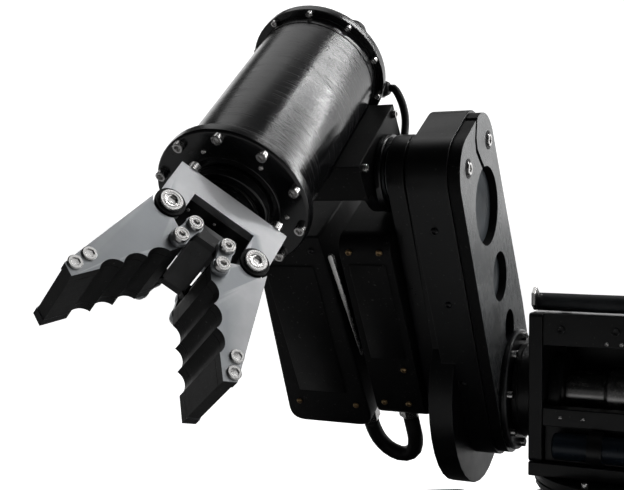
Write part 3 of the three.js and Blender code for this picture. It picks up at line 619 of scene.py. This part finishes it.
# ---- upper arm ----
COVER_FACE = local_box("cheek_cover", UPPER)[1][0]
CHEEK_FACE = local_box("cheek_body", UPPER)[1][0]
LEFT_SIDE, LEFT_FRONT = local_box("left_housing", UPPER)[0][:2]
INNER_FRONT = local_box("inner_housing", UPPER)[0][1]
CROSS_BACK = local_box("cross_member", UPPER)[1][1]
CHEEK_FRONT = -45.4
RECESSES = ((28, 5, 160), (18.5, 9, 98), (13, 13, 50))      # radius, y, z
GAP_LOW, GAP_HIGH = (24.0, -40.5, 57), (18.3, -40.5, 147)   # the painted-highlight strap's ends, between the housings


def cover_details():
    steel = Piece("cover_screws", "upper_arm", "steel")
    rings = Piece("cover_screw_seats", "upper_arm", "black_matt")
    for y, z in ((30.5, 198.5), (-21.5, 204.0)):
        steel.cap_screw(at(UPPER, COVER_FACE, y, z, "X"), *COVER_SCREW)
        rings.collar(at(UPPER, COVER_FACE - 0.1, y, z, "X"), 4.9, 6.6, 0.45, 0.1)
    rings.make()
    for place in circle(UPPER, 8, 40.5, 130.0, 0, 0, "X", math.radians(12)):
        steel.cap_screw(place, *HUB_SCREW)
    steel.make()


def housing_screws():
    brass = Piece("housing_screws", "upper_arm", "bronze")
    for x, z in ((54, 13), (34, 13), (34, 150), (57, 150), (56, 46)):
        brass.button_screw(at(UPPER, x, INNER_FRONT, z, "-Y"), *LID_SCREW)
    for x, z in ((10, 9), (-39, 9)):
        brass.button_screw(at(UPPER, x, LEFT_FRONT, z, "-Y"), *LID_SCREW)
    brass.make()
    dark = Piece("body_screws", "upper_arm", "black")
    for x, z in product((-36, 4, 36, 58), (12, 84)):
        dark.cap_screw(at(UPPER, x, CROSS_BACK, z, "Y"), *PLATE_SCREW)
    for x in (-30, 6):
        dark.button_screw(at(UPPER, x, LEFT_FRONT, 152, "-Y"), *LID_SCREW)
    for z in (40, 110, 170):
        dark.button_screw(at(UPPER, 102, CHEEK_FRONT, z, "-Y"), *CHEEK_SCREW)
    dark.make()


def painted_highlight_strap():
    """A pale tapering steel strap in the gap between the two housings: a painted highlight, standing in for a
    reflected light strip there.
    """
    low, high = Vector(GAP_LOW) * MM, Vector(GAP_HIGH) * MM
    turn = (high - low).to_track_quat("Z", "Y").to_matrix().to_4x4()
    place = UPPER @ Matrix.Translation(low) @ turn
    span = (high - low).length / MM
    strap = Piece("painted_highlight_strap", "upper_arm", "steel")
    strap.shell(place, [(0.7, 0), (1.1, 0.8), (2.3, span - 2.0), (1.7, span)], 16)
    strap.make()


def recess_details():
    caps = Piece("recess_caps", "upper_arm", "pocket")
    for r, y, z in RECESSES:
        caps.shell(at(UPPER, CHEEK_FACE + 0.05, y, z, "X"),
                   [(r - 0.6, 0), (r - 0.6, 2.4), (r - 1.6, 3.0), (r * 0.5, 3.0), (r * 0.45, 2.4),
                    (r * 0.15, 2.4)], 56)
    caps.make()
    bolts = Piece("recess_screws", "upper_arm", "black")
    large, y, z = RECESSES[0]
    for place in circle(UPPER, 6, large * 0.75, CHEEK_FACE + 2.0, y, z, "X", 0.3):
        bolts.button_screw(place, *RECESS_SCREW)
    bolts.make()


def housing_lids():
    lids = Piece("housing_lids", "upper_arm", "black_matt")
    lids.block(at(UPPER, -15.5, LEFT_FRONT + 0.2, 80, "-Y"), (40, 118, 1.4), 0.7)
    lids.block(at(UPPER, 45.8, INNER_FRONT + 0.2, 98, "-Y"), (28, 84, 1.4), 0.7)
    lids.block(at(UPPER, LEFT_SIDE + 4.4, -2, 52, "-X"), (70, 60, 1.2), 0.5)
    lids.make()


# ---- shoulder frame and base ----
def box_mm(node):
    """A CAD node's lowest and highest corner, in millimetres."""
    lo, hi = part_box(node)
    return lo / MM, hi / MM


SIDE_HI = box_mm("frame_right_plate")[1]
TOP_LO, TOP_HI = box_mm("frame_top_beam")
FLOOR_LO, FLOOR_HI = box_mm("frame_floor")
DISC_LO, DISC_HI = box_mm("slew_turntable")
BEAR_LO, BEAR_HI = box_mm("shoulder_bearing")
BASE_TOP = box_mm("base_plate")[1].z
SLEW_TOP = box_mm("slew_housing")[1].z
AXIS_Z = joint_point("shoulder_pitch").z / MM
MOTOR_R = 21.6           # the bands' bore, just inside the motor's skin
CLEAR = 4                # the least room between a turntable screw and the frame's floor


def frame_screws():
    dark = Piece("frame_screws", "turntable", "black")
    for y, z in product((-34, 34), (90, 140, 176)):
        dark.cap_screw(at(WORLD, SIDE_HI.x, y, z, "X"), *FRAME_SIDE_SCREW)
    for x in (-46, -8, 26, 62):
        dark.cap_screw(at(WORLD, x, TOP_LO.y, 176.5, "-Y"), *FRAME_EDGE_SCREW)
    for x, y in product((-50, 50), (-5, 32)):
        dark.cap_screw(at(WORLD, x, y, TOP_HI.z, "Z"), *FRAME_TOP_SCREW)
    for x, z in product((-48, 0, 52), (92, 150)):
        dark.cap_screw(at(WORLD, x, SIDE_HI.y, z, "Y"), *PLATE_SCREW)
    dark.make()
    small = Piece("frame_small_screws", "turntable", "steel")
    for x in (-14, -4):
        small.button_screw(at(WORLD, x, TOP_LO.y, 168, "-Y"), *SMALL_SCREW)
    for x in (-46, -30, 8, 56):
        small.button_screw(at(WORLD, x, FLOOR_LO.y, 113.5, "-Y"), *SMALL_SCREW)
    small.make()


def drive_details():
    """Bands on the motor, and seals on the shoulder bearing and the turntable's rim."""
    bands = Piece("motor_bands", "turntable", "black")
    for x, length in ((30, 5), (58, 8)):
        bands.collar(at(WORLD, x, 0, AXIS_Z, "X"), MOTOR_R, 24.0, length, 0.4)
    bands.make()
    seal = Piece("shoulder_seals", "turntable", "rubber")
    bearing_r, disc_r = (BEAR_HI.y - BEAR_LO.y) / 2, (DISC_HI.x - DISC_LO.x) / 2
    seal.hoop(at(WORLD, BEAR_LO.x + 3.4, 0, AXIS_Z, "X"), bearing_r, 0.7)
    seal.hoop(at(WORLD, 0, 0, DISC_LO.z + 5, "Z"), disc_r, 0.6, 80)
    seal.make()


def turntable_screws():
    """A ring of screws, apart from those that would be under the frame's floor."""
    disc = Piece("turntable_screws", "turntable", "steel")
    for place in circle(WORLD, 12, 66, 0, 0, DISC_HI.z, "Z", 0.13):
        x, y = place.translation.x / MM, place.translation.y / MM
        if not (FLOOR_LO.x - CLEAR < x < FLOOR_HI.x + CLEAR and abs(y) < FLOOR_HI.y + CLEAR):
            disc.cap_screw(place, *RING_SCREW)
    disc.make()


def base_details():
    steel = Piece("base_screws", "base", "steel")
    for place in circle(WORLD, 12, 68, 0, 0, SLEW_TOP - 7, "Z", 0.2):
        steel.cap_screw(place, *SLEW_SCREW)
    steel.make()
    height = 6
    ring = Piece("slew_flange", "base", "black_paint")
    ring.collar(at(WORLD, 0, 0, BASE_TOP, "Z"), 73.5, 83, height, 1.0, 80)
    ring.make()
    foot = Piece("slew_flange_screws", "base", "steel")
    for place in circle(WORLD, 12, 78.4, 0, 0, BASE_TOP + height, "Z", 0.1):
        foot.cap_screw(place, *RING_SCREW)
    foot.make()
    plug = Piece("power_connector", "base", "plastic")
    plug.shell(at(WORLD, 0, 72.5, 33, "Y"), [(11, 0), (11, 3), (9, 3.6), (9, 12), (9.6, 12.6), (9.6, 15),
                                            (8.6, 15.4), (7.6, 15.4), (7.6, 9), (3, 9)], 36)
    plug.make()


for add_pieces in (wrist_screws, wrist_rings, wrist_rear, grip_details, pins):
    add_pieces()
jaw_details(-1)
jaw_details(1)
for add_pieces in (cover_details, housing_screws, painted_highlight_strap, recess_details, housing_lids,
                   frame_screws, drive_details, turntable_screws, base_details):
    add_pieces()


# ---- camera, floor and studio light ----
CAMERA_PLACE, CAMERA_TILT, CAMERA_TURN = (0.1087, -0.7863, 0.2565), 90 - 1.51, 25.31   # metres, degrees
LENS, SENSOR = 59.81, 36.0
FLOOR_SIDE = 40          # half the floor's width, in metres
FLOOR_DROP = -0.0005     # the floor's height, in metres
FLOOR_GLOW = 0.95        # how bright the floor looks to the camera, so that it joins the backdrop
WALL, ROOM, CEILING = 1.25, 0.035, 0.07
ARM_MIDDLE = (-0.2, -0.1, 0.2)


def camera():
    data = bpy.data.cameras.new("camera")
    data.lens, data.sensor_width = LENS, SENSOR
    data.clip_start, data.clip_end = 0.05, 50
    cam = add_to_scene("camera", data)
    cam.location = CAMERA_PLACE
    cam.rotation_euler = (math.radians(CAMERA_TILT), 0, math.radians(CAMERA_TURN))
    bpy.context.scene.camera = cam


def area_light(name, place, target, size, power):
    """A rectangular lamp; places and size in metres, power in watts."""
    data = bpy.data.lights.new(name, "AREA")
    data.shape = "RECTANGLE"
    data.size, data.size_y = size
    data.energy = power
    light = add_to_scene(name, data)
    light.location = place
    light.rotation_euler = (Vector(target) - Vector(place)).to_track_quat("-Z", "Y").to_euler()


def ramp(tree, value, lo, hi, out_lo, out_hi):
    n = tree.nodes.new("ShaderNodeMapRange")
    n.interpolation_type = "SMOOTHSTEP"
    for key, v in (("From Min", lo), ("From Max", hi), ("To Min", out_lo), ("To Max", out_hi)):
        n.inputs[key].default_value = v
    tree.links.new(value, n.inputs["Value"])
    return n.outputs["Result"]


def floor_material():
    mat = bpy.data.materials.new("floor")
    mat.use_nodes = True
    tree = mat.node_tree
    bsdf = tree.nodes["Principled BSDF"]
    bsdf.inputs["Base Color"].default_value = (0.9, 0.9, 0.9, 1)
    bsdf.inputs["Roughness"].default_value = 0.8
    bsdf.inputs["Specular IOR Level"].default_value = 0.1
    bsdf.inputs["Emission Color"].default_value = (1, 1, 1, 1)
    path = tree.nodes.new("ShaderNodeLightPath")
    glow = tree.nodes.new("ShaderNodeMath")
    glow.operation = "MULTIPLY"
    glow.inputs[1].default_value = FLOOR_GLOW
    tree.links.new(path.outputs["Is Camera Ray"], glow.inputs[0])
    tree.links.new(glow.outputs[0], bsdf.inputs["Emission Strength"])
    return mat


def stage_floor():
    s, z = FLOOR_SIDE, FLOOR_DROP
    mesh = bpy.data.meshes.new("floor")
    mesh.from_pydata([(-s, -s, z), (s, -s, z), (s, s, z), (-s, s, z)], [], [(0, 1, 2, 3)])
    mesh.materials.append(floor_material())
    add_to_scene("floor", mesh)


def room():
    """A white wall behind the arm, a dim room in front of it and a dark ceiling."""
    world = bpy.data.worlds.new("studio")
    bpy.context.scene.world = world
    world.use_nodes = True
    tree = world.node_tree
    background = tree.nodes["Background"]
    background.inputs["Color"].default_value = (1, 1, 1, 1)
    coords = tree.nodes.new("ShaderNodeTexCoord")
    split = tree.nodes.new("ShaderNodeSeparateXYZ")
    tree.links.new(coords.outputs["Generated"], split.inputs[0])
    behind = ramp(tree, split.outputs["Y"], -0.05, 0.3, ROOM, WALL)
    low = ramp(tree, split.outputs["Z"], 0.3, 0.5, 1.0, CEILING)
    both = tree.nodes.new("ShaderNodeMath")
    both.operation = "MULTIPLY"
    tree.links.new(behind, both.inputs[0])
    tree.links.new(low, both.inputs[1])
    tree.links.new(both.outputs[0], background.inputs["Strength"])


def lamps():
    area_light("streak", (0.61, 0.58, 1.03), (-0.215, -0.12, 0.31), (0.06, 1.6), 7)
    area_light("plate_light", (0.44, -0.08, 1.19), (-0.24, -0.29, 0.23), (0.6, 0.6), 0.8)
    area_light("top_light", (-0.5, 0.5, 1.5), ARM_MIDDLE, (1.2, 0.8), 2.2)
    area_light("right_light", (1.3, 0.5, 0.5), (-0.1, 0, 0.2), (0.5, 0.5), 2.5)


camera()
stage_floor()
room()
lamps()
bpy.context.scene.view_settings.view_transform = "Standard"
